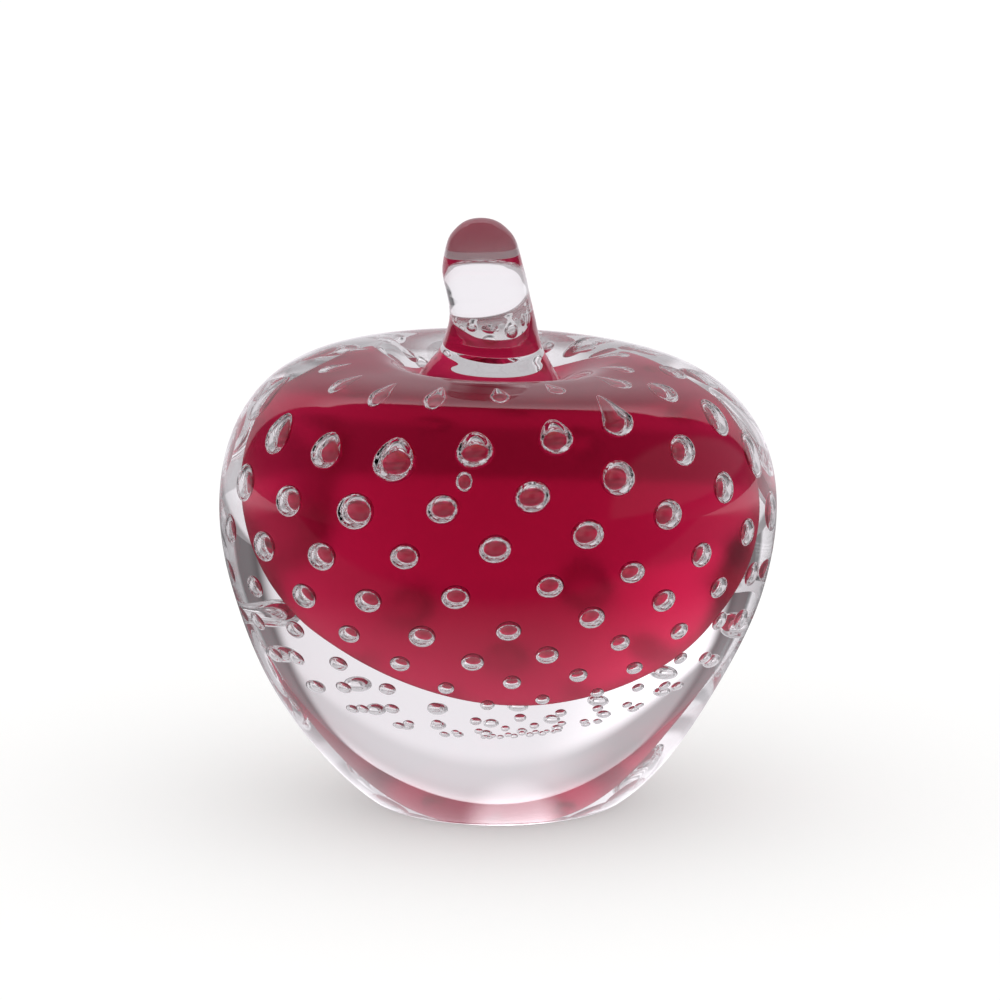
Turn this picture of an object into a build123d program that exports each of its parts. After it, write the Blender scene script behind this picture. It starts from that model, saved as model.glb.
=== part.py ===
import os
from math import cos, pi, radians, sin

from build123d import *

# Art glass apple: a solid paperweight of four glass pieces joined while hot.
# Lengths are millimetres and angles degrees. The origin is the centre of the
# ground base, +Z is up, and -Y is the front.

# Whole body
body_diameter = 92.0
widest_height = 49.3
crest_height = 74.8
crest_radius = 21.0
base_radius = 20.7
base_edge_radius = 3.0
base_wall_rise = 32.0
overall_height = 97.2

# Fullness of the outer profile, as shares of what each curve spans
low_wall_share = 0.26
belly_share = 0.39
shoulder_rise_share = 0.65
shoulder_turn_share = 0.57

# Dimple round the stem
dimple_depth = 9.5
dimple_crest_share = 0.35
dimple_floor_share = 0.43

# Clear casing over the gather: its wall at the widest point, its cover over
# the crest and the dimple, and how the gather in it sits
casing_wall = 9.4
casing_crest_cover = 2.2
casing_floor_cover = 2.3
gather_foot_share = 0.357
gather_lift = 1.7
gather_crest_inset = 1.4

# Clear gather over the ruby core, thick enough to hold the bubbles
gather_wall = 7.4
gather_crest_cover = 7.7
gather_foot_cover = 7.0
gather_floor_cover = 5.6
ruby_lift = 1.0
ruby_crest_inset = 3.1
ruby_spread_share = 0.47

# Depth of the layer that the bubble centres lie on, as shares of the clear
# gather's thickness at the widest point, over the crest and under the foot
layer_depth_share = 0.51
layer_crest_share = 0.44
layer_foot_share = 0.29
layer_drop = 0.3

# Fullness of the inner profiles, as shares of what each curve spans
foot_spread_share = 0.6
foot_belly_share = 0.55
top_rise_share = 0.5
top_turn_share = 0.72

# The pricking mould met the gather at a lean, so every ring runs higher on
# the right
mould_lean = 6.2

# Air bubbles: rings down the layer, counted from the one nearest the stem
# and placed at shares of the layer's length
bubble_columns = 15
bubble_rings = 12
first_ring_share = 0.1017
ring_spacing_share = 0.0947
ring_spacing_ratio = 0.955
bubble_radius_share = 0.338
bubble_shrink = 0.875
column_phase = 13.5
column_twist = 0.5
untwisted_ring = 4

# The first ring was drawn out towards the stem
drawn_bubble_share = 0.23
drawn_length_ratio = 1.5

# One stray bubble between the columns at the front
stray_radius_share = 0.18
stray_azimuth = -5.8
stray_share = 0.2496

# Stem, measured up its own leaning axis
stem_lean = 5.3
stem_foot_radius = 11.9
stem_foot_height = 69.6
stem_neck_radius = 6.9
stem_neck_height = 84.0
stem_shoulder_height = 90.4
stem_root_depth = 1.0
stem_flare_share = 0.3
stem_neck_share = 0.5
stem_dome_share = 0.56

# Sizes and positions that follow from the ones above
body_radius = body_diameter / 2
dimple_floor_height = crest_height - dimple_depth
column_pitch = 360.0 / bubble_columns
gather_diameter = body_diameter - 2 * casing_wall
gather_widest = widest_height + gather_lift
gather_foot = gather_widest * gather_foot_share
gather_crest_height = crest_height - casing_crest_cover
gather_crest_radius = crest_radius - gather_crest_inset
gather_dimple_depth = gather_crest_height - (dimple_floor_height - casing_floor_cover)
ruby_diameter = gather_diameter - 2 * gather_wall
ruby_foot = gather_foot + gather_foot_cover
ruby_widest = gather_widest + ruby_lift
ruby_crest_height = gather_crest_height - gather_crest_cover
ruby_crest_radius = gather_crest_radius - ruby_crest_inset
ruby_dimple_depth = gather_dimple_depth + gather_floor_cover - gather_crest_cover
layer_diameter = gather_diameter - 2 * gather_wall * layer_depth_share
layer_foot = gather_foot + gather_foot_cover * layer_foot_share
layer_widest = gather_widest - layer_drop
layer_crest_height = gather_crest_height - gather_crest_cover * layer_crest_share
layer_crest_radius = ruby_crest_radius
bubble_radius = gather_wall * bubble_radius_share
drawn_bubble_radius = gather_wall * drawn_bubble_share
stray_radius = gather_wall * stray_radius_share


def leaning_plane(lean, origin):
    """Return a level plane at the origin, leaned to the left by an angle."""
    return Plane(
        origin=origin,
        x_dir=(cos(radians(lean)), 0, sin(radians(lean))),
        z_dir=(-sin(radians(lean)), 0, cos(radians(lean))),
    )


def section_of(frame):
    """Return the upright plane through a frame's axis, seen from the front."""
    return Plane(origin=frame.origin, x_dir=frame.x_dir, z_dir=(0, -1, 0))


stem_frame = leaning_plane(stem_lean, (0, 0, dimple_floor_height))
stem_axis = Axis(stem_frame.origin, stem_frame.z_dir)


def gather_outline(radius, foot, widest, crest, crest_r, spread=foot_spread_share):
    """Draw a gather's outside, from its crest to its foot.

    Returns the curve from the crest to the widest point and the curve from
    there to the foot.
    """
    turn = crest_r + (radius - crest_r) * top_turn_share
    rise = widest + (crest - widest) * top_rise_share
    belly = widest - (widest - foot) * foot_belly_share
    top_curve = Bezier((crest_r, crest), (turn, crest), (radius, rise), (radius, widest))
    foot_curve = Bezier((radius, widest), (radius, belly), (radius * spread, foot), (0, foot))
    return top_curve, foot_curve


def close_at_dimple(foot, crest, crest_r, depth):
    """Close a half section: down the dimple's wall and down the axis."""
    floor = crest - depth
    Bezier(
        (crest_r, crest),
        (crest_r * (1 - dimple_crest_share), crest),
        (crest_r * dimple_floor_share, floor),
        (0, floor),
    )
    Line((0, floor), (0, foot))


# Ruby core: one solid gather of ruby glass
with BuildPart() as ruby_core:
    with BuildSketch(Plane.XZ):
        with BuildLine():
            gather_outline(
                ruby_diameter / 2,
                ruby_foot,
                ruby_widest,
                ruby_crest_height,
                ruby_crest_radius,
                ruby_spread_share,
            )
            close_at_dimple(
                ruby_foot, ruby_crest_height, ruby_crest_radius, ruby_dimple_depth
            )
        make_face()
    revolve(axis=Axis.Z)
ruby_core.part.label = "ruby_core"

# Bubble layer: the meridian that the bubble centres lie on, crest to foot
with BuildLine() as bubble_layer:
    layer_top, layer_bottom = gather_outline(
        layer_diameter / 2,
        layer_foot,
        layer_widest,
        layer_crest_height,
        layer_crest_radius,
    )
layer_length = layer_top.length + layer_bottom.length


def layer_location(distance, azimuth):
    """Return a place on the bubble layer whose Z runs along the meridian.

    The distance is measured down the meridian from its crest, before the
    mould's lean lifts the place on the right and lowers it on the left.
    """
    lift = layer_diameter / 2 * radians(mould_lean) * sin(radians(azimuth))
    leaned = distance - lift * sin(pi * distance / layer_length)
    curve, along = layer_top, leaned
    if leaned > layer_top.length:
        curve, along = layer_bottom, leaned - layer_top.length
    point = curve.position_at(along, position_mode=PositionMode.LENGTH)
    slope = curve.tangent_at(along, position_mode=PositionMode.LENGTH)
    east = sin(radians(azimuth))
    north = -cos(radians(azimuth))
    return Plane(
        origin=(point.X * east, point.X * north, point.Y),
        x_dir=(-north, east, 0),
        z_dir=(slope.X * east, slope.X * north, slope.Y),
    ).location


def ring_distance(ring):
    """Return how far down the meridian a ring of bubbles lies."""
    steps = (1 - ring_spacing_ratio**ring) / (1 - ring_spacing_ratio)
    return layer_length * (first_ring_share + ring_spacing_share * steps)


def ring_azimuths(ring):
    """Return the columns of a ring, staggered by half a pitch each ring."""
    stagger = column_pitch / 2 * (ring % 2)
    twist = column_twist * max(untwisted_ring - ring, 0) ** 2
    first = column_phase + stagger - twist
    return [first + column_pitch * column for column in range(bubble_columns)]


# Air bubbles: cavities, not glass. Each began as a pit pricked in the gather
# and was closed in just under the gather's skin.
with BuildPart() as bubbles:
    with BuildPart(Plane.XY, mode=Mode.PRIVATE) as drawn_bubble:
        with BuildSketch(Plane.XZ):
            Ellipse(drawn_bubble_radius, drawn_bubble_radius * drawn_length_ratio)
            split(bisect_by=Plane.YZ)
        revolve(axis=Axis.Z)
    for ring in range(bubble_rings):
        places = [layer_location(ring_distance(ring), a) for a in ring_azimuths(ring)]
        with Locations(*places):
            if ring == 0:
                add(drawn_bubble.part)
            else:
                Sphere(bubble_radius * bubble_shrink ** (ring - 1))
    with Locations(layer_location(layer_length * stray_share, stray_azimuth)):
        Sphere(stray_radius)

# Gather skin: everything inside the surface where gather and casing meet
with BuildPart() as gather_skin:
    with BuildSketch(Plane.XZ):
        with BuildLine():
            gather_outline(
                gather_diameter / 2,
                gather_foot,
                gather_widest,
                gather_crest_height,
                gather_crest_radius,
            )
            close_at_dimple(
                gather_foot,
                gather_crest_height,
                gather_crest_radius,
                gather_dimple_depth,
            )
        make_face()
    revolve(axis=Axis.Z)

# Bubble gather: clear glass over the ruby, with the air trapped in it
with BuildPart() as bubble_gather:
    add(gather_skin.part)
    add(ruby_core.part, mode=Mode.SUBTRACT)
    add(bubbles.part, mode=Mode.SUBTRACT, clean=False)
bubble_gather.part.label = "bubble_gather"

# Apple body: the whole outside, base ground flat and dimpled at the top
with BuildPart() as apple_body:
    with BuildSketch(Plane.XZ):
        with BuildLine():
            wall_reach = body_radius * low_wall_share
            wall_run = wall_reach * cos(radians(base_wall_rise))
            wall_climb = wall_reach * sin(radians(base_wall_rise))
            shoulder = crest_height - widest_height
            Line((0, 0), (base_radius, 0))
            Bezier(
                (base_radius, 0),
                (base_radius + wall_run, wall_climb),
                (body_radius, widest_height * (1 - belly_share)),
                (body_radius, widest_height),
            )
            Bezier(
                (body_radius, widest_height),
                (body_radius, widest_height + shoulder * shoulder_rise_share),
                (
                    crest_radius + (body_radius - crest_radius) * shoulder_turn_share,
                    crest_height,
                ),
                (crest_radius, crest_height),
            )
            Bezier(
                (crest_radius, crest_height),
                (crest_radius * (1 - dimple_crest_share), crest_height),
                (crest_radius * dimple_floor_share, dimple_floor_height),
                (0, dimple_floor_height),
            )
            Line((0, dimple_floor_height), (0, 0))
        make_face()
    revolve(axis=Axis.Z)
    fillet(apple_body.edges().group_by(Axis.Z)[0], base_edge_radius)

# Outer casing: the thick clear gather that gives the apple its shape
with BuildPart() as outer_casing:
    add(apple_body.part)
    add(gather_skin.part, mode=Mode.SUBTRACT)
outer_casing.part.label = "outer_casing"

# Stem: a bit of clear glass drawn up out of the dimple, its foot spread over the floor
with BuildPart() as stem:
    with BuildSketch(section_of(stem_frame)):
        with BuildLine():
            root = -stem_root_depth
            foot = stem_foot_height - dimple_floor_height
            neck = stem_neck_height - dimple_floor_height
            brow = stem_shoulder_height - dimple_floor_height
            tip = overall_height - dimple_floor_height
            Polyline((0, tip), (0, root), (stem_foot_radius, root), (stem_foot_radius, foot))
            Bezier(
                (stem_foot_radius, foot),
                (
                    stem_foot_radius - (stem_foot_radius - stem_neck_radius) * stem_neck_share,
                    foot + (neck - foot) * stem_flare_share,
                ),
                (stem_neck_radius, neck - (neck - foot) * stem_neck_share),
                (stem_neck_radius, neck),
            )
            Line((stem_neck_radius, neck), (stem_neck_radius, brow))
            Bezier(
                (stem_neck_radius, brow),
                (stem_neck_radius, brow + (tip - brow) * stem_dome_share),
                (stem_neck_radius * stem_dome_share, tip),
                (0, tip),
            )
        make_face()
    revolve(axis=stem_axis)
    add(apple_body.part, mode=Mode.SUBTRACT)
stem.part.label = "stem"

os.makedirs("parts", exist_ok=True)
export_step(ruby_core.part, "parts/ruby_core.step")
export_step(bubble_gather.part, "parts/bubble_gather.step")
export_step(outer_casing.part, "parts/outer_casing.step")
export_step(stem.part, "parts/stem.step")
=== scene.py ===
import logging
from dataclasses import dataclass, field
from enum import Enum, IntEnum
from math import cos, pi, radians, sin, tan
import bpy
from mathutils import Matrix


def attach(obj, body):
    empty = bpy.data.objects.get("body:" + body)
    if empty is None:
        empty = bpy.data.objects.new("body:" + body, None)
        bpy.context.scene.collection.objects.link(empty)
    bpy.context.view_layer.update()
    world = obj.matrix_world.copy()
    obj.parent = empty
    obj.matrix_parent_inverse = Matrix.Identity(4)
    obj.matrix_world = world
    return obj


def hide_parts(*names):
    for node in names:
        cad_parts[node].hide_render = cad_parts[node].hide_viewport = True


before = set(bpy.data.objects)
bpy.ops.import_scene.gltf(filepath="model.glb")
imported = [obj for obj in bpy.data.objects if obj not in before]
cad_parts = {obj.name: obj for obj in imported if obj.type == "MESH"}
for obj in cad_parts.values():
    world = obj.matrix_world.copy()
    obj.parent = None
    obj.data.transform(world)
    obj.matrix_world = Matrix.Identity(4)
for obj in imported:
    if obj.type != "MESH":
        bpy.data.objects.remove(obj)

from types import SimpleNamespace

import bpy
import numpy as np
from bpy.types import Material, Node, NodeSocket, NodeTree, Object, World
from mathutils import Vector

log = logging.getLogger("art_glass_apple")

MM = 0.001
MATH = "ShaderNodeMath"
MIX = "ShaderNodeMix"
NOISE = "ShaderNodeTexNoise"
RANGE = "ShaderNodeMapRange"
SOFT = {"interpolation_type": "SMOOTHSTEP"}
GLASS_BOUNCES = 32
GLOSSY_BOUNCES = 12


class Slot(Enum):
    """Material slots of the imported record."""

    CLEAR = "clear_glass"
    RUBY = "ruby_glass"


class Side(Enum):
    """Which way a closed surface faces."""

    OUT = 1
    INTO_CAVITY = -1


class SkinFinish(IntEnum):
    """What isn't polished on casing and stem, by place in their lists of materials.

    WORKED is the ground base of the casing and the sheared end of the stem.
    """

    SEAM = 1
    WORKED = 2
    LIP = 3


class GatherFinish(IntEnum):
    """Finishes of the bubble gather, in the order of its materials."""

    SEAM = 0
    AIR_WALL = 1


def linear(hex_colour: str) -> tuple[float, float, float, float]:
    """Turn an sRGB hex colour into linear values.

    Args:
        hex_colour: Six hex digits after a hash sign.

    Returns:
        Red, green, blue and an opacity of one.
    """
    channels = [int(hex_colour[i : i + 2], 16) / 255 for i in (1, 3, 5)]
    straight = [c / 12.92 if c <= 0.04045 else ((c + 0.055) / 1.055) ** 2.4 for c in channels]
    return (*straight, 1.0)


def add_node(
    tree: NodeTree,
    kind: str,
    inputs: dict | None = None,
    **settings: object,
) -> Node:
    """Add a node with its settings, values and links.

    Args:
        tree: The node tree that gets the node.
        kind: The node's type name.
        inputs: Value, output socket or node for each input, by name or number.
        settings: Attributes of the node.

    Returns:
        The new node.
    """
    node = tree.nodes.new(kind)
    for name, value in settings.items():
        setattr(node, name, value)
    for key, value in (inputs or {}).items():
        if isinstance(value, Node):
            value = value.outputs[0]
        if isinstance(value, NodeSocket):
            tree.links.new(value, node.inputs[key])
        else:
            node.inputs[key].default_value = value
    return node


@dataclass(frozen=True)
class Change:
    """A level that changes once as the value that it goes by grows."""

    by: str
    middle: float
    width: float
    before: float
    after: float

    def of(
        self, value: Node | NodeSocket, unit: float = 1.0
    ) -> dict[str, object]:
        """Say how the level follows a value, for a node that maps a range.

        Args:
            value: What the level depends on.
            unit: Unit in which the middle and the width are given.

        Returns:
            The node's inputs by name.
        """
        middle, half = self.middle * unit, self.width * unit / 2
        return {
            "Value": value,
            "From Min": middle - half,
            "From Max": middle + half,
            "To Min": self.before,
            "To Max": self.after,
        }


def smooth_step(values: np.ndarray, low: float, high: float) -> np.ndarray:
    """Rise smoothly from 0 at low to 1 at high.

    Args:
        values: Where to evaluate the step.
        low: Where the rise starts.
        high: Where the rise ends.

    Returns:
        The step at each value.
    """
    share = np.clip((values - low) / (high - low), 0, 1)
    return share * share * (3 - 2 * share)


def bezier(handles: list[tuple[float, float]], count: int) -> np.ndarray:
    """Sample a cubic curve.

    Args:
        handles: Start, two handles and end, as radius and height.
        count: Number of points, both ends included.

    Returns:
        The points, one in each row.
    """
    share = np.linspace(0, 1, count)[:, None]
    rest = 1 - share
    start, first, second, end = (np.array(handle, float) for handle in handles)
    upper = rest**3 * start + 3 * rest**2 * share * first
    return upper + 3 * rest * share**2 * second + share**3 * end


def dimple_curve(
    radius: float, height: float, depth: float, level_shares: tuple[float, float], count: int
) -> np.ndarray:
    """Draw a dimple from the axis out to its crest.

    Args:
        radius: Radius of the crest.
        height: Height of the crest.
        depth: Depth of the dimple's floor below the crest.
        level_shares: Shares of the radius that keep the floor and the crest level.
        count: Number of points.

    Returns:
        Radius and height of each point.
    """
    floor = height - depth
    floor_share, crest_share = level_shares
    return bezier(
        [
            (0, floor),
            (radius * floor_share, floor),
            (radius * (1 - crest_share), height),
            (radius, height),
        ],
        count,
    )


def through(stations: np.ndarray, steps: int) -> np.ndarray:
    """Draw a smooth curve through stations, leaving out the first and last.

    Args:
        stations: One station in each row, with one extra at either end.
        steps: Number of points on each span.

    Returns:
        The points, one in each row.
    """
    rows = []
    share = np.linspace(0, 1, steps, endpoint=False)[:, None]
    for a, b, c, d in zip(stations, stations[1:], stations[2:], stations[3:]):
        rows.append(
            b
            + (c - a) / 2 * share
            + (a - 2.5 * b + 2 * c - d / 2) * share**2
            + (1.5 * (b - c) + (d - a) / 2) * share**3
        )
    return np.vstack([*rows, stations[-2:-1]])


@dataclass
class Surface:
    """Points and faces of one piece, gathered from its rings."""

    points: list[np.ndarray] = field(default_factory=list)
    faces: list[tuple[int, ...]] = field(default_factory=list)
    finishes: list[int] = field(default_factory=list)

    def add_closed_rings(
        self,
        rings: np.ndarray,
        poles: np.ndarray,
        side: Side = Side.OUT,
        finish: int = 0,
    ) -> None:
        """Skin a closed form from rings that run from its top to its foot.

        Args:
            rings: Points of each ring, as rings by points by coordinates.
            poles: The first and the last point.
            side: Which way the form looks.
            finish: Number of the material.
        """
        levels, turns = rings.shape[:2]
        start = sum(len(points) for points in self.points)
        self.points += [rings.reshape(-1, 3), poles]
        last = start + (levels - 1) * turns
        top = last + turns
        foot = top + 1
        faces: list[tuple[int, ...]] = []
        for turn in range(turns):
            beside = (turn + 1) % turns
            faces.append((top, start + turn, start + beside))
            faces.append((foot, last + beside, last + turn))
            for level in range(levels - 1):
                upper = start + level * turns
                lower = upper + turns
                faces.append((upper + turn, lower + turn, lower + beside, upper + beside))
        if side is Side.INTO_CAVITY:
            faces = [face[::-1] for face in faces]
        self.faces += faces
        self.finishes += [finish] * len(faces)

    def make_piece(self, name: str, materials: list[Material]) -> Object:
        """Make the Blender object, smooth shaded.

        Args:
            name: Name of the piece.
            materials: Materials in the order of the finish numbers.

        Returns:
            The new object.
        """
        mesh = bpy.data.meshes.new(name)
        mesh.from_pydata(np.vstack(self.points).tolist(), [], self.faces)
        for material in materials:
            mesh.materials.append(material)
        mesh.polygons.foreach_set("material_index", self.finishes)
        mesh.polygons.foreach_set("use_smooth", [True] * len(self.faces))
        mesh.update()
        mesh.validate()
        piece = bpy.data.objects.new(name, mesh)
        bpy.context.scene.collection.objects.link(piece)
        return piece


def turned(profile: np.ndarray, segments: int) -> np.ndarray:
    """Turn a half profile about the upright axis.

    Args:
        profile: Radius and height of each ring, in millimetres.
        segments: Number of points in each ring.

    Returns:
        Rings by points by coordinates, in millimetres.
    """
    angle = np.arange(segments) * 2 * pi / segments
    rings = np.zeros((len(profile), segments, 3))
    rings[:, :, 0] = profile[:, :1] * np.cos(angle)
    rings[:, :, 1] = profile[:, :1] * np.sin(angle)
    rings[:, :, 2] = profile[:, 1:2]
    return rings


@dataclass(frozen=True)
class Glass:
    """Plain, smooth glass that every finish starts from."""

    name: str
    colour: str = "#FFFFFF"
    refraction: float = 1.5
    roughness: float = 0.0
    clear_share: float = 1.0

    def make(self) -> Material:
        """Make the material.

        Returns:
            The new material.
        """
        material = bpy.data.materials.new(self.name)
        material.use_nodes = True
        shader = material.node_tree.nodes["Principled BSDF"]
        shader.inputs["Base Color"].default_value = linear(self.colour)
        shader.inputs["Roughness"].default_value = self.roughness
        shader.inputs["IOR"].default_value = self.refraction
        shader.inputs["Transmission Weight"].default_value = self.clear_share
        self.add_detail(material.node_tree, shader)
        return material

    def add_detail(self, tree: NodeTree, shader: Node) -> None:
        """Leave the glass plain, where a finish adds nothing of its own."""


@dataclass(frozen=True)
class ClearGlass(Glass):
    """Soda-lime glass, colourless, its skin fire-polished in the furnace.

    To the eye it is a bright, fully clear skin whose long, very shallow waves
    make reflections and the view through it swim a little.
    """

    name: str = "soda_lime_glass_fire_polished"
    colour: str = "#FCFDFC"
    wave_length_mm: float = 21.0
    ripple_length_mm: float = 7.0
    wave_height_mm: float = 0.035
    ripple_share: float = 0.18

    def add_detail(self, tree: NodeTree, shader: Node) -> None:
        """Add the waves and ripples.

        Args:
            tree: The material's node tree.
            shader: Its surface shader.
        """
        place = add_node(tree, "ShaderNodeTexCoord").outputs["Object"]
        scale = 1 / (self.wave_length_mm * MM)
        waves = add_node(tree, NOISE, {"Vector": place, "Scale": scale, "Detail": 1.0})
        scale = 1 / (self.ripple_length_mm * MM)
        ripples = add_node(tree, NOISE, {"Vector": place, "Scale": scale, "Detail": 0.0})
        height = add_node(
            tree, MATH, {0: ripples, 1: self.ripple_share, 2: waves}, operation="MULTIPLY_ADD"
        )
        bump = add_node(
            tree,
            "ShaderNodeBump",
            {"Height": height, "Strength": 1.0, "Distance": self.wave_height_mm * MM},
        )
        tree.links.new(bump.outputs["Normal"], shader.inputs["Normal"])


@dataclass(frozen=True)
class BubbleWall(Glass):
    """Wall of air trapped in soda-lime glass: smooth, as it never met a tool.

    To the eye it is a silvery rim, where light can't leave the glass, round a
    small upturned picture of what lies behind.
    """

    name: str = "soda_lime_glass_round_trapped_air"


@dataclass(frozen=True)
class FusedSeam(Glass):
    """Seam where two gathers of the same glass met hot and became one.

    Light passes it straight, so the eye can't see it.
    """

    name: str = "soda_lime_glass_fused_seam"
    refraction: float = 1.0


@dataclass(frozen=True)
class GroundBase(Glass):
    """Underside of soda-lime glass, ground flat on a wheel so that it stands.

    To the eye it is a pale, frosted disc that spreads the light of what the
    apple stands on into the foot of the glass.
    """

    name: str = "soda_lime_glass_ground_flat"
    roughness: float = 0.45
    grit_mm: float = 0.6
    grit_depth_mm: float = 0.02

    def add_detail(self, tree: NodeTree, shader: Node) -> None:
        """Add the grit's scratches.

        Args:
            tree: The material's node tree.
            shader: Its surface shader.
        """
        place = add_node(tree, "ShaderNodeTexCoord").outputs["Object"]
        # The grit's scratches are drawn coarser than they are, so that they show.
        grit = add_node(tree, NOISE, {"Vector": place, "Scale": 1 / (self.grit_mm * MM)})
        bump = add_node(
            tree, "ShaderNodeBump", {"Height": grit, "Distance": self.grit_depth_mm * MM}
        )
        tree.links.new(bump.outputs["Normal"], shader.inputs["Normal"])


@dataclass(frozen=True)
class ShearedEnd(Glass):
    """Soda-lime glass cut with shears while soft, never polished again.

    To the eye it is a little hazy, and mixes the red of the heart below it
    with the pale room. Its lower lip, where the shears closed, is frosted.
    """

    name: str = "soda_lime_glass_sheared_end"
    roughness: float = 0.4
    clear_share: float = 0.8


@dataclass(frozen=True)
class RubyGlass(Glass):
    """Gold ruby glass, gathered and struck red, then cased in clear glass.

    Its skin is fused to the clear glass, so it hardly bends light, and it
    softens what lies behind. To the eye it is a deep, even crimson that only
    warms and lightens where much light comes through.
    """

    name: str = "gold_ruby_glass_gathered"
    colour: str = "#E63C6C"
    refraction: float = 1.03
    roughness: float = 0.5
    depth_colour: str = "#D700A4"
    depth_density: float = 48.0

    def add_detail(self, tree: NodeTree, shader: Node) -> None:
        """Add the colour that grows with the depth of the glass.

        Args:
            tree: The material's node tree.
            shader: Its surface shader.
        """
        depth = add_node(
            tree,
            "ShaderNodeVolumeAbsorption",
            {"Color": linear(self.depth_colour), "Density": self.depth_density},
        )
        output = tree.nodes["Material Output"]
        tree.links.new(depth.outputs["Volume"], output.inputs["Volume"])


@dataclass
class HandShape:
    """How hand work moved the apple off a true round, in millimetres."""

    shoulder_lean: float = 1.6
    widest_height: float = 49.3
    crest_height: float = 74.8
    low_sag: float = 0.55
    low_sag_height: float = 19.0
    low_sag_spread: float = 17.0
    dimple_shift: float = -1.4
    dimple_radius: float = 12.0
    crest_radius: float = 21.0
    lip_sag: float = 1.1
    lip_reach: tuple[float, float] = (-4.0, 16.0)
    lip_end: tuple[float, float] = (24.0, 38.0)

    def apply(self, points: np.ndarray) -> np.ndarray:
        """Lift the left shoulder, shift the dimple, let its front lip and the lower body sag.

        Args:
            points: Points in millimetres, coordinates last.

        Returns:
            The moved points.
        """
        moved = points.copy()
        height = points[..., 2]
        weight = smooth_step(height, self.widest_height, self.crest_height)
        moved[..., 2] -= points[..., 0] * tan(radians(self.shoulder_lean)) * weight
        sag = np.clip(1 - np.abs(height - self.low_sag_height) / self.low_sag_spread, 0, 1)
        moved[..., 0] -= self.low_sag * smooth_step(sag, 0, 1)
        around = np.hypot(points[..., 0], points[..., 1])
        inside = 1 - smooth_step(around, self.dimple_radius, self.crest_radius)
        moved[..., 0] += self.dimple_shift * inside * (height > self.widest_height)
        front = smooth_step(-points[..., 1], *self.lip_reach)
        front = front * (1 - smooth_step(around, *self.lip_end))
        moved[..., 2] -= self.lip_sag * front * weight
        return moved


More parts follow.
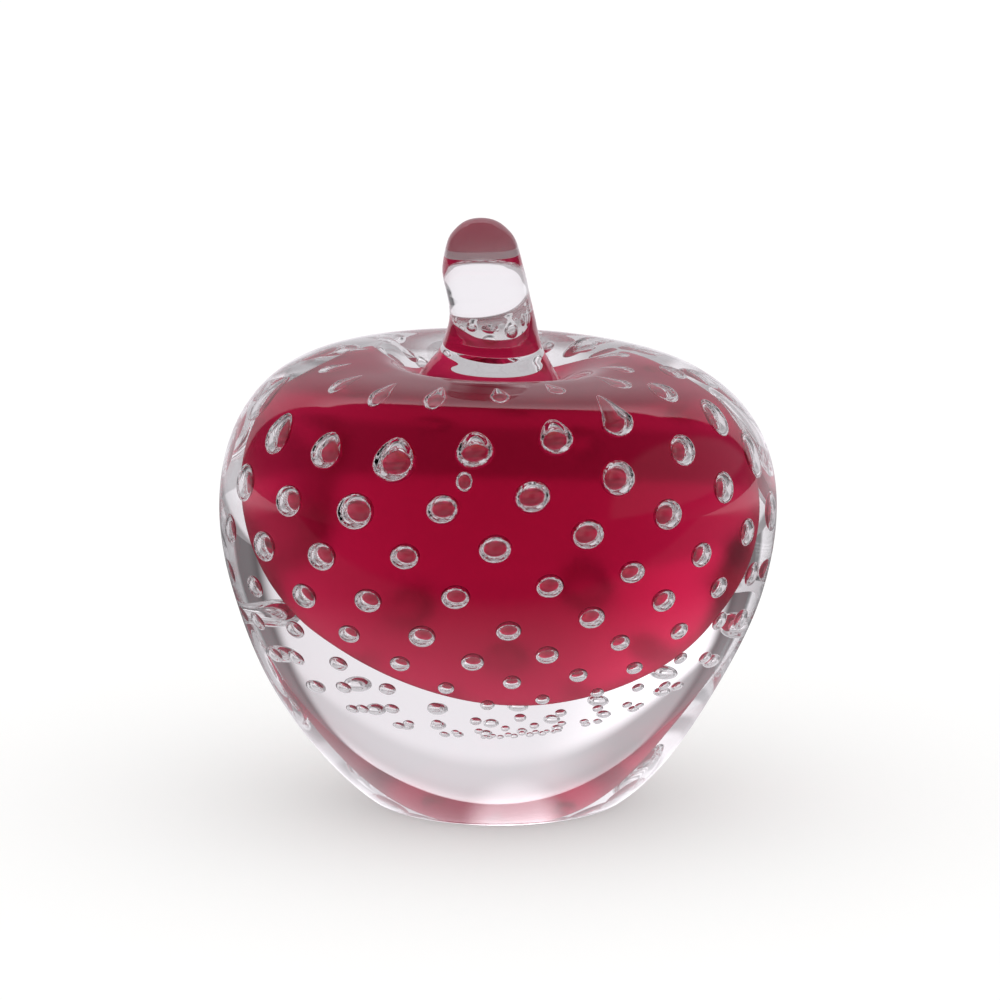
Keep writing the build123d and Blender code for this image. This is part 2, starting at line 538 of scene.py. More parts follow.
@dataclass
class OuterCasing:
    """Thick clear gather that gives the apple its shape, in millimetres."""

    body_radius: float = 46.0
    widest_height: float = 49.3
    crest_height: float = 74.8
    crest_radius: float = 21.0
    base_radius: float = 20.7
    base_edge_radius: float = 3.0
    base_wall_rise: float = 32.0
    base_insets: tuple[float, ...] = (0.3, 1.2, 4.0, 8.0, 12.0, 16.0)
    ground_height: float = 0.03
    low_wall_share: float = 0.26
    belly_share: float = 0.39
    shoulder_rise_share: float = 0.65
    shoulder_turn_share: float = 0.57
    dimple_depth: float = 9.5
    dimple_level_shares: tuple[float, float] = (0.43, 0.35)
    stem_foot_radius: float = 11.9
    segments: int = 288
    dimple_points: int = 56
    shoulder_points: int = 72
    wall_points: int = 84
    edge_points: int = 9
    hand: HandShape = field(default_factory=HandShape)

    def profile(self) -> tuple[np.ndarray, int]:
        """Draw the half profile from the dimple's floor to the base.

        Returns:
            Radius and height of each ring, and the number of the ring that
            fits the stem's foot.
        """
        shoulder = self.crest_height - self.widest_height
        reach = self.body_radius * self.low_wall_share
        rise = radians(self.base_wall_rise)
        turn = self.crest_radius + (self.body_radius - self.crest_radius) * self.shoulder_turn_share
        dimple = dimple_curve(
            self.crest_radius,
            self.crest_height,
            self.dimple_depth,
            self.dimple_level_shares,
            self.dimple_points,
        )[1:]
        foot_ring = int(np.argmin(np.abs(dimple[:, 0] - self.stem_foot_radius)))
        dimple[foot_ring, 0] = self.stem_foot_radius
        top = bezier(
            [
                (self.crest_radius, self.crest_height),
                (turn, self.crest_height),
                (self.body_radius, self.widest_height + shoulder * self.shoulder_rise_share),
                (self.body_radius, self.widest_height),
            ],
            self.shoulder_points,
        )
        wall = bezier(
            [
                (self.body_radius, self.widest_height),
                (self.body_radius, self.widest_height * (1 - self.belly_share)),
                (self.base_radius + reach * cos(rise), reach * sin(rise)),
                (self.base_radius, 0),
            ],
            self.wall_points,
        )
        trim = self.base_edge_radius * tan(rise / 2)
        corner = np.array([self.base_radius, 0])
        wall = wall[np.hypot(*(wall - corner).T) > trim]
        edge_start = corner + trim * np.array([cos(rise), sin(rise)])
        edge_end = corner - np.array([trim, 0])
        # Handles at two thirds of the way to the corner round it evenly.
        edge = bezier(
            [
                tuple(edge_start),
                tuple(edge_start + (corner - edge_start) * 2 / 3),
                tuple(edge_end + (corner - edge_end) * 2 / 3),
                tuple(edge_end),
            ],
            self.edge_points,
        )
        inset = np.array(self.base_insets)
        base = np.column_stack([edge_end[0] - inset, np.zeros(len(inset))])
        return np.vstack([dimple, top[1:], wall[1:], edge, base]), foot_ring

    def build(self) -> Object:
        """Build the casing's skin, with a seam under the stem's foot.

        Returns:
            The piece.
        """
        rings = self.hand.apply(turned(self.profile()[0], self.segments))
        floor = self.crest_height - self.dimple_depth
        poles = self.hand.apply(np.array([[0.0, 0.0, floor], [0.0, 0.0, 0.0]]))
        skin = Surface()
        skin.add_closed_rings(rings * MM, poles * MM)
        finishes = [ClearGlass().make(), FusedSeam().make(), GroundBase().make()]
        piece = skin.make_piece("outer_casing_glass", finishes)
        limit = self.stem_foot_radius * MM
        middle = self.hand.dimple_shift * MM
        for face in piece.data.polygons:
            near = face.center
            if near.z > self.widest_height * MM:
                if (near.x - middle) ** 2 + near.y**2 < limit**2:
                    face.material_index = SkinFinish.SEAM
            elif near.z < self.ground_height * MM:
                face.material_index = SkinFinish.WORKED
        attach(piece, "root")
        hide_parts("outer_casing")
        return piece

    def stem_seat(self) -> tuple[np.ndarray, np.ndarray]:
        """Return the rings under the stem's foot and the seat's middle.

        Returns:
            Rings from the foot inwards and the middle point, in millimetres.
        """
        profile, foot_ring = self.profile()
        rings = self.hand.apply(turned(profile[foot_ring::-1], self.segments))
        floor = self.crest_height - self.dimple_depth
        return rings, self.hand.apply(np.array([[0.0, 0.0, floor]]))


@dataclass
class Stem:
    """Clear stem drawn up out of the dimple by hand, in millimetres.

    Each station gives how far the stem has bent to the left, its height, its
    half width and how far it reaches back. The first and the last station
    only steer the curve. The foot follows the casing up to the fade station.
    The stem's end was sheared off and falls away to the back.
    """

    casing: OuterCasing
    seat_sink: float = 0.18
    round_height: float = 85.0
    lip_height: float = 88.9
    lip_clear_share: float = 0.3
    sheared_height: float = 90.3
    span_points: int = 10
    foot_station: int = 1
    fade_station: int = 4
    stations: tuple[tuple[float, float, float, float], ...] = (
        (1.4, 70.9, 13.6, 13.6),
        (1.4, 70.6, 11.9, 11.9),
        (1.5, 71.5, 11.15, 10.5),
        (1.45, 72.7, 10.35, 9.6),
        (1.33, 73.9, 9.55, 9.05),
        (1.1, 75.3, 8.6, 8.5),
        (1.0, 77.6, 7.75, 7.8),
        (0.92, 80.2, 7.12, 7.3),
        (1.15, 82.4, 6.85, 7.15),
        (1.6, 84.6, 6.8, 7.2),
        (2.15, 87.2, 6.82, 7.0),
        (2.5, 89.4, 6.6, 6.1),
        (2.65, 93.3, 5.65, 3.2),
        (2.72, 95.3, 4.35, 1.75),
        (2.78, 96.75, 2.4, 0.65),
        (2.8, 97.2, 0.0, 0.0),
        (2.78, 96.75, -2.4, -0.65),
    )

    def build(self) -> Object:
        """Build the stem on its seat.

        Returns:
            The piece.
        """
        seat, middle = self.casing.stem_seat()
        line = through(np.array(self.stations), self.span_points)
        foot_height = self.stations[self.foot_station][1]
        fade_height = self.stations[self.fade_station][1]
        turns = self.casing.segments
        angle = np.arange(turns) * 2 * pi / turns
        rings = []
        for bend, height, radius, rear in line[1:-1]:
            ring = np.zeros((turns, 3))
            front = radius if height > self.round_height else min(radius, rear)
            ring[:, 0] = radius * np.cos(angle) - bend
            ring[:, 1] = np.where(np.sin(angle) > 0, rear, front) * np.sin(angle)
            fade = 1 - smooth_step(np.array(height), foot_height, fade_height)
            ring[:, 2] = height + (seat[0][:, 2] - foot_height) * fade
            rings.append(ring)
        share = np.linspace(0, 1, len(seat))[:, None]
        sunk = seat.copy()
        sunk[:, :, 2] -= self.seat_sink * np.sin(share * pi / 2)
        middle[:, 2] -= self.seat_sink
        top = np.array([[-line[-1][0], 0.0, line[-1][1]]])
        skin = Surface()
        whole = np.concatenate([np.array(rings)[::-1], sunk])
        skin.add_closed_rings(whole * MM, np.vstack([top, middle]) * MM)
        lip = ShearedEnd(name="soda_lime_glass_sheared_lip", clear_share=self.lip_clear_share)
        finishes = [ClearGlass().make(), FusedSeam().make(), ShearedEnd().make(), lip.make()]
        piece = skin.make_piece("stem_glass", finishes)
        first_of_seat = len(rings) * turns
        for face in piece.data.polygons:
            near = face.center
            if min(face.vertices) >= first_of_seat:
                face.material_index = SkinFinish.SEAM
            elif near.y > 0 and near.z > self.sheared_height * MM:
                face.material_index = SkinFinish.WORKED
            elif near.y > 0 and near.z > self.lip_height * MM:
                face.material_index = SkinFinish.LIP
        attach(piece, "root")
        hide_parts("stem")
        return piece


@dataclass
class Gather:
    """Outline that the inner gathers share, in millimetres."""

    diameter: float
    foot: float
    widest: float
    crest_height: float
    crest_radius: float
    dimple_depth: float
    foot_spread_share: float = 0.6
    foot_belly_share: float = 0.55
    top_rise_share: float = 0.5
    top_turn_share: float = 0.72
    dimple_level_shares: tuple[float, float] = (0.43, 0.35)

    def meridian(self, count: int) -> np.ndarray:
        """Draw the outside from the crest to the foot.

        Args:
            count: Number of points on each of its two curves.

        Returns:
            Radius and height of each point.
        """
        radius = self.diameter / 2
        turn = self.crest_radius + (radius - self.crest_radius) * self.top_turn_share
        rise = self.widest + (self.crest_height - self.widest) * self.top_rise_share
        belly = self.widest - (self.widest - self.foot) * self.foot_belly_share
        upper = bezier(
            [
                (self.crest_radius, self.crest_height),
                (turn, self.crest_height),
                (radius, rise),
                (radius, self.widest),
            ],
            count,
        )
        lower = bezier(
            [
                (radius, self.widest),
                (radius, belly),
                (radius * self.foot_spread_share, self.foot),
                (0, self.foot),
            ],
            count,
        )
        return np.vstack([upper, lower[1:]])

    def closed_form(self, count: int, segments: int) -> tuple[np.ndarray, np.ndarray]:
        """Turn the whole outline, dimple first.

        Args:
            count: Number of points on each curve of the outside.
            segments: Number of points in each ring.

        Returns:
            The rings and the two poles.
        """
        dimple = dimple_curve(
            self.crest_radius,
            self.crest_height,
            self.dimple_depth,
            self.dimple_level_shares,
            count // 2,
        )
        profile = np.vstack([dimple[1:], self.meridian(count)[1:-1]])
        floor = self.crest_height - self.dimple_depth
        return turned(profile, segments), np.array([[0.0, 0.0, floor], [0.0, 0.0, self.foot]])


@dataclass
class RubyCore:
    """Solid ruby gather at the heart of the apple, in millimetres."""

    outline: Gather = field(
        default_factory=lambda: Gather(58.4, 25.2, 52.0, 64.9, 16.5, 7.5, foot_spread_share=0.47)
    )
    lean: float = 4.2
    outline_points: int = 64
    segments: int = 192

    def build(self) -> Object:
        """Build the core, its axis leaned to the left.

        Returns:
            The piece.
        """
        rings, poles = self.outline.closed_form(self.outline_points, self.segments)
        for points in (rings, poles):
            points[..., 0] -= tan(radians(self.lean)) * (points[..., 2] - self.outline.widest)
        skin = Surface()
        skin.add_closed_rings(rings * MM, poles * MM)
        piece = skin.make_piece("ruby_core_glass", [RubyGlass().make()])
        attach(piece, "root")
        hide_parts("ruby_core")
        return piece


@dataclass(frozen=True)
class OddBubble:
    """How one bubble near the dimple came out odd, in millimetres and degrees."""

    ring: int
    column: int
    growth: float
    drop: float = 0.0
    turn: float = 0.0
    tail: float = 0.0


@dataclass
class BubbleGather:
    """Clear gather over the ruby, with rings of air trapped in it, in millimetres.

    The air was pricked in with a ring of pins, so it lies in columns that are
    staggered from ring to ring and lean with the mould. The first ring was
    drawn out into tails. The rings shrink towards the foot, the lowest ones
    faster, and a few bubbles near the dimple came out odd.
    """

    outline: Gather = field(default_factory=lambda: Gather(73.2, 18.2, 51.0, 72.6, 19.6, 9.6))
    layer: Gather = field(
        default_factory=lambda: Gather(64.8, 20.4, 50.3, 69.3, 16.2, 8.0, foot_belly_share=0.47)
    )
    outline_points: int = 56
    layer_points: int = 120
    segments: int = 128
    mould_lean: float = 6.2
    mould_offset: float = -0.6
    mould_height: float = 48.0
    columns: int = 15
    rings: int = 12
    first_distance: float = 7.4
    spacing: float = 7.3
    spacing_ratio: float = 0.955
    azimuth_scatter: float = 0.5
    distance_scatter: float = 0.18
    swell_scatter: float = 0.05
    swell_limit: float = 0.09
    bubble_radius: float = 2.72
    unshrunk_ring: int = 2
    bubble_shrink: float = 0.91
    late_shrink: float = 0.988
    bubble_depth: float = 0.9
    bubble_length: float = 0.75
    length_scatter: float = 0.12
    side_flatness: float = 0.35
    second_tail: float = 0.16
    tail_taper: float = 0.55
    below_drawn: float = 1.0
    odd_bubbles: tuple[OddBubble, ...] = (
        OddBubble(ring=0, column=2, growth=1.35, drop=2.0, turn=4.0, tail=0.9),
        OddBubble(ring=1, column=1, growth=1.15, turn=-5.0, tail=0.8),
        OddBubble(ring=1, column=13, growth=1.38, drop=1.0, tail=0.16),
        OddBubble(ring=2, column=13, growth=1.15),
    )
    column_phase: float = 13.5
    column_twist: float = 0.4
    untwisted_ring: int = 4
    drawn_radius: float = 1.75
    drawn_stretch: float = 1.1
    drawn_tail: float = 0.75
    stray_radius: float = 1.35
    stray_stretch: float = 1.05
    stray_azimuth: float = -5.8
    stray_distance: float = 19.5
    slope_step: float = 0.5
    large_radius: float = 1.2
    large_turns: int = 36
    small_turns: int = 22
    seed: int = 7

    def place(self, distance: float, azimuth: float) -> tuple[np.ndarray, np.ndarray]:
        """Find a place on the bubble layer.

        Args:
            distance: Length down the meridian from the crest.
            azimuth: Angle round the axis, from the front towards the right.

        Returns:
            The point and the direction down the meridian, before the lean.
        """
        line = self.layer.meridian(self.layer_points)
        steps = np.hypot(*np.diff(line, axis=0).T)
        along = np.concatenate([[0.0], np.cumsum(steps)])
        here, ahead = (
            np.array([np.interp(reached, along, line[:, i]) for i in (0, 1)])
            for reached in (distance, distance + self.slope_step)
        )
        slope = (ahead - here) / np.hypot(*(ahead - here))
        east, north = sin(radians(azimuth)), -cos(radians(azimuth))
        point = np.array([here[0] * east, here[0] * north, here[1]])
        return point, np.array([slope[0] * east, slope[0] * north, slope[1]])

    def leaned(self, points: np.ndarray) -> np.ndarray:
        """Lean points with the mould.

        Args:
            points: Points in the mould's own frame, one in each row.

        Returns:
            The points in the apple's frame.
        """
        lean = radians(self.mould_lean)
        moved = points - np.array([0, 0, self.mould_height])
        turned_x = moved[:, 0] * cos(lean) - moved[:, 2] * sin(lean)
        turned_z = moved[:, 0] * sin(lean) + moved[:, 2] * cos(lean)
        return np.column_stack(
            [turned_x + self.mould_offset, moved[:, 1], turned_z + self.mould_height]
        )

    def bubble(self, radius: float, stretch: float, tail: float) -> tuple[np.ndarray, np.ndarray]:
        """Shape one bubble about its own centre, its tail up.

        Args:
            radius: Radius across the bubble.
            stretch: Length over width.
            tail: How much the upper end is drawn to a point, 0 to 1.

        Returns:
            The rings and the two poles.
        """
        turns = self.large_turns if radius > self.large_radius else self.small_turns
        polar = np.linspace(0, pi, turns // 2 + 2)[:, None]
        angle = (np.arange(turns) * 2 * pi / turns)[None, :]
        upper = np.clip(np.cos(polar), 0, 1)
        across = radius * np.sin(polar) * (1 - self.tail_taper * tail * upper)
        along = radius * np.cos(polar) * (stretch + tail * upper**2)
        full = np.stack(
            [across * np.cos(angle), across * np.sin(angle), along + 0 * angle], axis=-1
        )
        return full[1:-1], np.stack([full[0, 0], full[-1, 0]])

    def add_bubble(
        self,
        skin: Surface,
        distance: float,
        azimuth: float,
        radius: float,
        stretch: float,
        tail: float,
    ) -> None:
        """Add one bubble to the gather.

        Args:
            skin: Surface that gets the bubble.
            distance: Length down the meridian from the crest.
            azimuth: Angle round the axis.
            radius: Radius across the bubble.
            stretch: Length over width.
            tail: How much its upper end is drawn out.
        """
        rings, poles = self.bubble(radius, stretch, tail)
        point, slope = self.place(distance, azimuth)
        up = -slope
        side = np.cross(up, point / np.linalg.norm(point))
        side /= np.linalg.norm(side)
        depth = self.bubble_depth - self.side_flatness * sin(radians(azimuth)) ** 2
        frame_axes = np.array([side, np.cross(up, side) * depth, up])
        rings = self.leaned((rings @ frame_axes + point).reshape(-1, 3)).reshape(rings.shape)
        poles = self.leaned(poles @ frame_axes + point)
        skin.add_closed_rings(rings * MM, poles * MM, Side.INTO_CAVITY, GatherFinish.AIR_WALL)

    def build(self) -> Object:
        """Build the gather and its trapped air.

        Returns:
            The piece.
        """
        chance = np.random.default_rng(self.seed)
        skin = Surface()
        rings, poles = self.outline.closed_form(self.outline_points, self.segments)
        skin.add_closed_rings(rings * MM, poles * MM, finish=GatherFinish.SEAM)
        pitch = 360 / self.columns
        for ring in range(self.rings):
            steps = (1 - self.spacing_ratio**ring) / (1 - self.spacing_ratio)
            distance = self.first_distance + self.spacing * steps
            twist = self.column_twist * max(self.untwisted_ring - ring, 0) ** 2
            first = self.column_phase + pitch / 2 * (ring % 2) - twist
            below = max(ring - self.unshrunk_ring, 0)
            shrunk = self.bubble_shrink**below * self.late_shrink ** (below * below)
            for column in range(self.columns):
                azimuth = first + pitch * column + chance.normal(0, self.azimuth_scatter)
                down = distance + chance.normal(0, self.distance_scatter)
                swell = chance.normal(0, self.swell_scatter)
                swell = 1 + np.clip(swell, -self.swell_limit, self.swell_limit)
                if ring == 0:
                    size, stretch, tail = self.drawn_radius, self.drawn_stretch, self.drawn_tail
                else:
                    down += self.below_drawn
                    size = self.bubble_radius * shrunk
                    stretch = self.bubble_length * (1 + self.length_scatter * chance.random())
                    tail = self.second_tail if ring == 1 else 0.0
                for odd in self.odd_bubbles:
                    if (odd.ring, odd.column) == (ring, column):
                        size, tail = size * odd.growth, odd.tail
                        down, azimuth = down + odd.drop, azimuth + odd.turn
                self.add_bubble(skin, down, azimuth, size * swell, stretch, tail)
        self.add_bubble(
            skin,
            self.stray_distance,
            self.stray_azimuth,
            self.stray_radius,
            self.stray_stretch,
            tail=0.0,
        )
        piece = skin.make_piece("bubble_gather_glass", [FusedSeam().make(), BubbleWall().make()])
        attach(piece, "root")
        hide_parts("bubble_gather")
        return piece


@dataclass(frozen=True)
class FloorPaintedLight:
    """Painted light and shade on the floor, by place in millimetres, as the glass sees it.

    Reach is from the apple's axis, spot from the painted caustic's middle. Across is
    width over depth, which has no unit.
    """

    # Painted shade before and behind the apple, darker still at either side, and painted paler
    # rings round it.
    far: Change = Change("depth", 162.0, 8.0, 0.58, 1.0)
    near: Change = Change("reach", 34.0, 10.0, 0.3, 0.0)
    strip: Change = Change("reach", 67.0, 14.0, -0.12, 0.25)
    painted_ring_end: Change = Change("reach", 96.0, 12.0, 0.0, -0.25)
    beside: Change = Change("across", 1.03, 0.26, 1.0, 0.4)
    wing: Change = Change("across", 1.95, 0.3, 0.0, 0.6)
    # A painted pool of light round the apple that ends in front, and a painted caustic before its
    # base.
    pool: Change = Change("reach", 85.0, 80.0, 0.85, 0.16)
    front: Change = Change("back", -120.0, 30.0, 0.15, 1.0)
    painted_caustic: Change = Change("spot", 7.0, 6.0, 4.0, 0.0)
    # A painted bright foot, the floor far behind painted brighter, and painted light near and
    # behind the apple.
    foot: Change = Change("reach", 42.0, 24.0, 0.7, 0.0)
    beyond: Change = Change("back", 270.0, 260.0, 0.0, 0.8)
    inner: Change = Change("reach", 55.0, 50.0, 0.65, 0.38)
    rear: Change = Change("back", 50.0, 24.0, 0.0, 0.4)


@dataclass(frozen=True)
class RoomLevels:
    """How bright the glass sees the room, by direction, as a unit vector.

    Across and above are width and height over depth, as on a flat card.
    """

    card_top: Change = Change("above", 1.54, 0.12, 1.0, 0.0)
    card_shade: Change = Change("above", 1.1, 0.6, 0.62, 1.6)
    card_left: Change = Change("right", -0.3, 0.3, 0.6, 1.0)
    card_edge: Change = Change("across", 1.03, 0.26, 1.0, 0.0)
    low_top: Change = Change("above", 0.5, 0.12, 1.0, 0.0)
    low_left: Change = Change("right", -0.3, 0.4, 1.0, 0.2)
    gap: Change = Change("across", 1.2, 0.3, 0.1, 0.2)
    wing: Change = Change("across", 1.95, 0.3, 0.0, 1.0)
    wing_right: Change = Change("right", 0.0, 0.6, 1.0, 0.45)
    wing_roof: Change = Change("up", 0.7, 0.3, 1.0, 0.1)
    behind_edge: Change = Change("across", 0.94, 0.06, 1.0, 0.0)
    behind_top: Change = Change("above", 1.32, 0.12, 1.0, 0.0)
    behind: Change = Change("back", 0.05, 0.1, 0.0, 1.0)
    box_side: Change = Change("right", 0.72, 0.06, 0.0, 0.22)
    box_end: Change = Change("off_box", 0.3, 0.05, 1.0, 0.0)
    horizon: Change = Change("up", 0.05, 0.3, 0.14, 0.0)
    horizon_back: Change = Change("back", -0.3, 0.5, 0.0, 1.0)
    flank: Change = Change("width", 0.35, 0.5, 0.3, 1.25)
    flank_right: Change = Change("right", 0.0, 0.6, 0.85, 0.36)
    flank_upper: Change = Change("up", 0.64, 0.1, 1.0, 0.5)
    bar: Change = Change("in_bar", 0.05, 0.05, 0.45, 1.0)
    ceiling: Change = Change("up", 0.7, 0.16, 0.0, 0.45)


@dataclass
class Studio:
    """Pale floor, soft surroundings and the camera, in millimetres."""

    floor_colour: str = "#D6D6D5"
    floor_glow: float = 0.37
    floor_reach: float = 12000.0
    floor_gap: float = 0.2
    floor_painted_light: FloorPaintedLight = FloorPaintedLight()
    room_levels: RoomLevels = RoomLevels()
    dark_room: float = 0.025
    box_height: float = 0.45
    bar_pitch: float = 0.11
    least_depth: float = 0.02
    glass_light: str = "#FCF7FD"
    sweep: float = 250.0
    # Middle of the painted caustic on the floor before the base.
    painted_caustic_place: tuple[float, float, float] = (3.0, -23.0, 0.0)
    once: float = 0.5
    camera_distance: float = 911.0
    camera_elevation: float = 12.5
    camera_clip: tuple[float, float] = (50.0, 20000.0)
    pivot_height: float = 37.4
    aim_above: float = 12.43
    aim_right: float = 0.33
    lens: float = 198.0
    sensor: float = 36.0

    def build_floor(self) -> Object:
        """Lay the paper floor, and paint on it the light and shade that the glass sees on each part
        of it.

        Returns:
            The floor.
        """
        material = bpy.data.materials.new("seamless_paper_matt_with_painted_light")
        material.use_nodes = True
        tree = material.node_tree
        paper = tree.nodes["Principled BSDF"]
        paper.inputs["Base Color"].default_value = linear(self.floor_colour)
        paper.inputs["Roughness"].default_value = 1.0
        paper.inputs["Specular IOR Level"].default_value = 0.0
        paper.inputs["Emission Color"].default_value = (1, 1, 1, 1)
        path = add_node(tree, "ShaderNodeLightPath")
        glow = add_node(
            tree, MATH, {0: path.outputs["Is Camera Ray"], 1: self.floor_glow}, operation="MULTIPLY"
        )
        tree.links.new(glow.outputs[0], paper.inputs["Emission Strength"])
        place = add_node(tree, "ShaderNodeTexCoord").outputs["Object"]
        right, back, _ = add_node(tree, "ShaderNodeSeparateXYZ", {0: place}).outputs
        reach = add_node(tree, "ShaderNodeVectorMath", {0: place}, operation="LENGTH").outputs[1]
        depth = add_node(tree, MATH, {0: back}, operation="ABSOLUTE")
        width = add_node(tree, MATH, {0: right}, operation="ABSOLUTE")

        deeper = add_node(tree, MATH, {0: depth, 1: self.sweep * MM}, operation="ADD")
        across = add_node(tree, MATH, {0: width, 1: deeper}, operation="DIVIDE")
        # Distance from the painted caustic's middle.
        middle = tuple(length * MM for length in self.painted_caustic_place)
        spot = add_node(tree, "ShaderNodeVectorMath", {0: place, 1: middle}, operation="DISTANCE")
        lengths = {"reach": reach, "back": back, "depth": depth, "spot": spot.outputs[1]}
        values = {"across": (across, 1.0)} | {key: (lengths[key], MM) for key in lengths}
        level = SimpleNamespace(
            **{
                name: add_node(tree, RANGE, step.of(*values[step.by]), **SOFT)
                for name, step in vars(self.floor_painted_light).items()
            }
        )

        # Straight through: painted light and shade, not shading of the paper: bright from the card
        # on, painted shade before it and at either side, with painted paler rings round the apple.
        near = level.near
        for more in (level.strip, level.painted_ring_end):
            near = add_node(tree, MATH, {0: near, 1: more}, operation="ADD")
        beside = add_node(tree, MATH, {0: level.beside, 1: level.wing}, operation="ADD")
        sides = {0: level.far, 1: beside, 2: near}
        straight = add_node(tree, MATH, sides, operation="MULTIPLY_ADD")

        # Turned back by the outside: a painted pool of light that ends in front, a painted caustic,
        # a painted bright foot and the floor far behind painted brighter.
        outer = add_node(tree, MATH, {0: level.pool, 1: level.front}, operation="MULTIPLY")
        for more in (level.painted_caustic, level.foot, level.beyond):
            outer = add_node(tree, MATH, {0: outer, 1: more}, operation="ADD")

        # Turned back within: painted light near the apple, and behind it.
        inner = add_node(tree, MATH, {0: level.inner, 1: level.rear}, operation="ADD")

        seen = self.by_path(tree, straight, outer, inner)
        # Rays from the glass see the floor as this painted glow, not as lit paper.
        lit = add_node(
            tree, "ShaderNodeEmission", {"Color": linear(self.glass_light), "Strength": seen}
        )
        shown = add_node(
            tree, "ShaderNodeMixShader", {0: path.outputs["Is Glossy Ray"], 1: paper, 2: lit}
        )
        tree.links.new(shown.outputs[0], tree.nodes["Material Output"].inputs["Surface"])
        mesh = bpy.data.meshes.new("studio_floor")
        side = self.floor_reach * MM
        low = -self.floor_gap * MM
        corners = [(-side, -side, low), (side, -side, low), (side, side, low), (-side, side, low)]
        mesh.from_pydata(corners, [], [(0, 1, 2, 3)])
        mesh.materials.append(material)
        floor = bpy.data.objects.new("studio_floor", mesh)
        bpy.context.scene.collection.objects.link(floor)
        return floor

    def by_path(
        self,
        tree: NodeTree,
        straight: Node,
        outer: Node,
        inner: Node,
    ) -> Node:
        """Choose a level by how light came through the glass.

        Args:
            tree: The node tree.
            straight: Level for light that only passed through.
            outer: Level for light that the outside turned back.
            inner: Level for light that was turned back within.

        Returns:
            The node with the level.
        """
        path = add_node(tree, "ShaderNodeLightPath").outputs
        within, turned_back = (
            add_node(tree, MATH, {0: path[depth], 1: self.once}, operation="GREATER_THAN")
            for depth in ("Transmission Depth", "Glossy Depth")
        )
        mirrored = add_node(tree, MIX, {0: within, 2: outer, 3: inner})
        return add_node(tree, MIX, {0: turned_back, 2: straight, 3: mirrored})

    def build_surroundings(self) -> World:
        """Make the room: a white card behind the glass, in a dark studio.

        Light that only passes through the glass sees a card on either side,
        so that the glass is as bright from behind as from the front. Light
        that is turned back by a surface sees the one card behind, a soft box
        at the right and the dark room.

        Returns:
            The world.
        """
        world = bpy.data.worlds.new("studio_room")
        bpy.context.scene.world = world
        world.use_nodes = True
        tree = world.node_tree
        tree.nodes.clear()

        place = add_node(tree, "ShaderNodeTexCoord").outputs["Generated"]
        right, back, up = add_node(tree, "ShaderNodeSeparateXYZ", {0: place}).outputs
        depth = add_node(tree, MATH, {0: back}, operation="ABSOLUTE")
        depth = add_node(tree, MATH, {0: depth, 1: self.least_depth}, operation="MAXIMUM")
        width = add_node(tree, MATH, {0: right}, operation="ABSOLUTE")
        off_box = add_node(tree, MATH, {0: up, 1: self.box_height}, operation="SUBTRACT")
        values = {
            "right": right,
            "back": back,
            "up": up,
            "width": width,
            "across": add_node(tree, MATH, {0: width, 1: depth}, operation="DIVIDE"),
            "above": add_node(tree, MATH, {0: up, 1: depth}, operation="DIVIDE"),
            "off_box": add_node(tree, MATH, {0: off_box}, operation="ABSOLUTE"),
            "in_bar": add_node(tree, MATH, {0: up, 1: self.bar_pitch}, operation="PINGPONG"),
        }
        level = SimpleNamespace(
            **{
                name: add_node(tree, RANGE, step.of(values[step.by]), **SOFT)
                for name, step in vars(self.room_levels).items()
            }
        )

        # Straight through: the card, dimmer at the left but brighter low down
        # there, pale side walls and the dark between.
        card = level.card_top
        for share in (level.card_shade, level.card_left):
            card = add_node(tree, MATH, {0: card, 1: share}, operation="MULTIPLY")
        wing = add_node(tree, MATH, {0: level.wing, 1: level.wing_right}, operation="MULTIPLY")
        low = {0: level.low_top, 1: level.low_left, 2: card}
        straight = add_node(tree, MATH, low, operation="MULTIPLY_ADD")
        edge = {0: straight, 1: level.card_edge, 2: level.gap}
        straight = add_node(tree, MATH, edge, operation="MULTIPLY_ADD")
        roof = {0: wing, 1: level.wing_roof, 2: straight}
        straight = add_node(tree, MATH, roof, operation="MULTIPLY_ADD")

        # Turned back by the outside: the one card behind, a soft box at the
        # right, and a pale horizon at the back.
        card = level.behind_top
        for share in (level.card_shade, level.behind_edge):
            card = add_node(tree, MATH, {0: card, 1: share}, operation="MULTIPLY")
        outer = self.dark_room
        for light, share in (
            (card, level.behind),
            (level.box_side, level.box_end),
            (level.horizon, level.horizon_back),
        ):
            outer = add_node(tree, MATH, {0: light, 1: share, 2: outer}, operation="MULTIPLY_ADD")

        # Turned back within: the sides, the left one brighter, crossed by
        # dark level bars, and the ceiling.
        flank = level.flank
        for share in (level.flank_upper, level.bar):
            flank = add_node(tree, MATH, {0: flank, 1: share}, operation="MULTIPLY")
        ceiling = {0: flank, 1: level.flank_right, 2: level.ceiling}
        inner = add_node(tree, MATH, ceiling, operation="MULTIPLY_ADD")

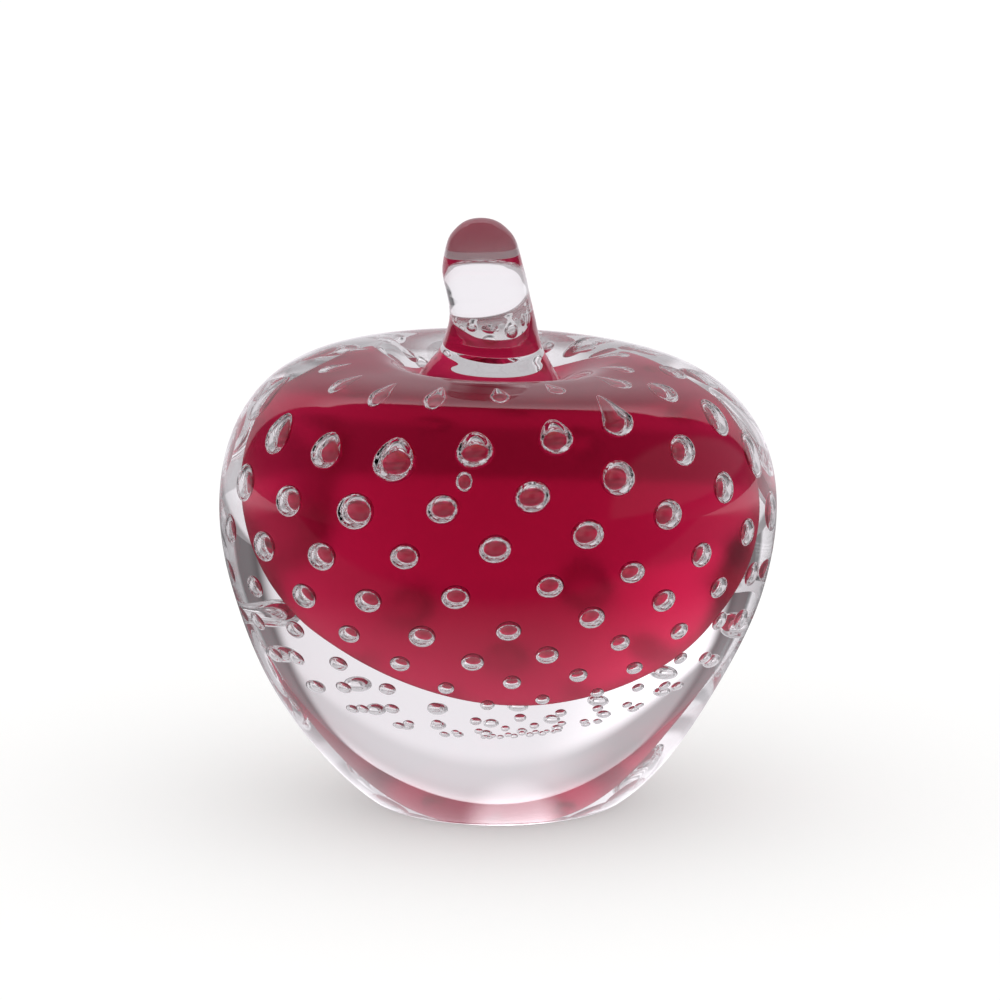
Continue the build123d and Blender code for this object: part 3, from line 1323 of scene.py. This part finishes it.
        seen = self.by_path(tree, straight, outer, inner)
        glossy = add_node(tree, "ShaderNodeLightPath").outputs["Is Glossy Ray"]
        strength = add_node(tree, MIX, {0: glossy, 2: 1.0, 3: seen})
        colours = {6: (1, 1, 1, 1), 7: linear(self.glass_light)}
        colour = add_node(tree, MIX, {0: glossy, **colours}, data_type="RGBA").outputs[2]
        light = add_node(tree, "ShaderNodeBackground", {"Color": colour, "Strength": strength})
        add_node(tree, "ShaderNodeOutputWorld", {"Surface": light})
        return world

    def place_camera(self) -> Object:
        """Put the camera where the photograph was taken from.

        Returns:
            The camera.
        """
        rise = radians(self.camera_elevation)
        camera = bpy.data.objects.new("camera", bpy.data.cameras.new("camera"))
        bpy.context.scene.collection.objects.link(camera)
        camera.location = (
            0.0,
            -self.camera_distance * cos(rise) * MM,
            (self.pivot_height + self.camera_distance * sin(rise)) * MM,
        )
        aim = Vector(
            (
                self.aim_right * MM,
                self.aim_above * sin(rise) * MM,
                (self.pivot_height + self.aim_above * cos(rise)) * MM,
            )
        )
        camera.rotation_mode = "QUATERNION"
        camera.rotation_quaternion = (aim - camera.location).to_track_quat("-Z", "Y")
        camera.data.lens = self.lens
        camera.data.sensor_width = self.sensor
        camera.data.clip_start, camera.data.clip_end = (end * MM for end in self.camera_clip)
        bpy.context.scene.camera = camera
        return camera


def set_up_light_paths() -> None:
    """Let light cross every skin of the glass, and keep plain colours."""
    scene = bpy.context.scene
    scene.view_settings.view_transform = "Standard"
    scene.cycles.max_bounces = GLASS_BOUNCES
    scene.cycles.transmission_bounces = GLASS_BOUNCES
    scene.cycles.glossy_bounces = GLOSSY_BOUNCES


def main() -> None:
    """Build the apple piece by piece, then the studio round it."""
    logging.basicConfig(level=logging.INFO, format="%(name)s: %(message)s")
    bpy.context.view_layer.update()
    set_up_light_paths()
    studio = Studio()
    studio.place_camera()
    studio.build_surroundings()
    log.info("stage: %s", studio.build_floor().name)
    casing = OuterCasing()
    makers = (RubyCore(), BubbleGather(), casing, Stem(casing))
    for maker in makers:
        piece = maker.build()
        log.info("%s: %d faces", piece.name, len(piece.data.polygons))
    bpy.context.view_layer.update()


if __name__ == "__main__":
    main()
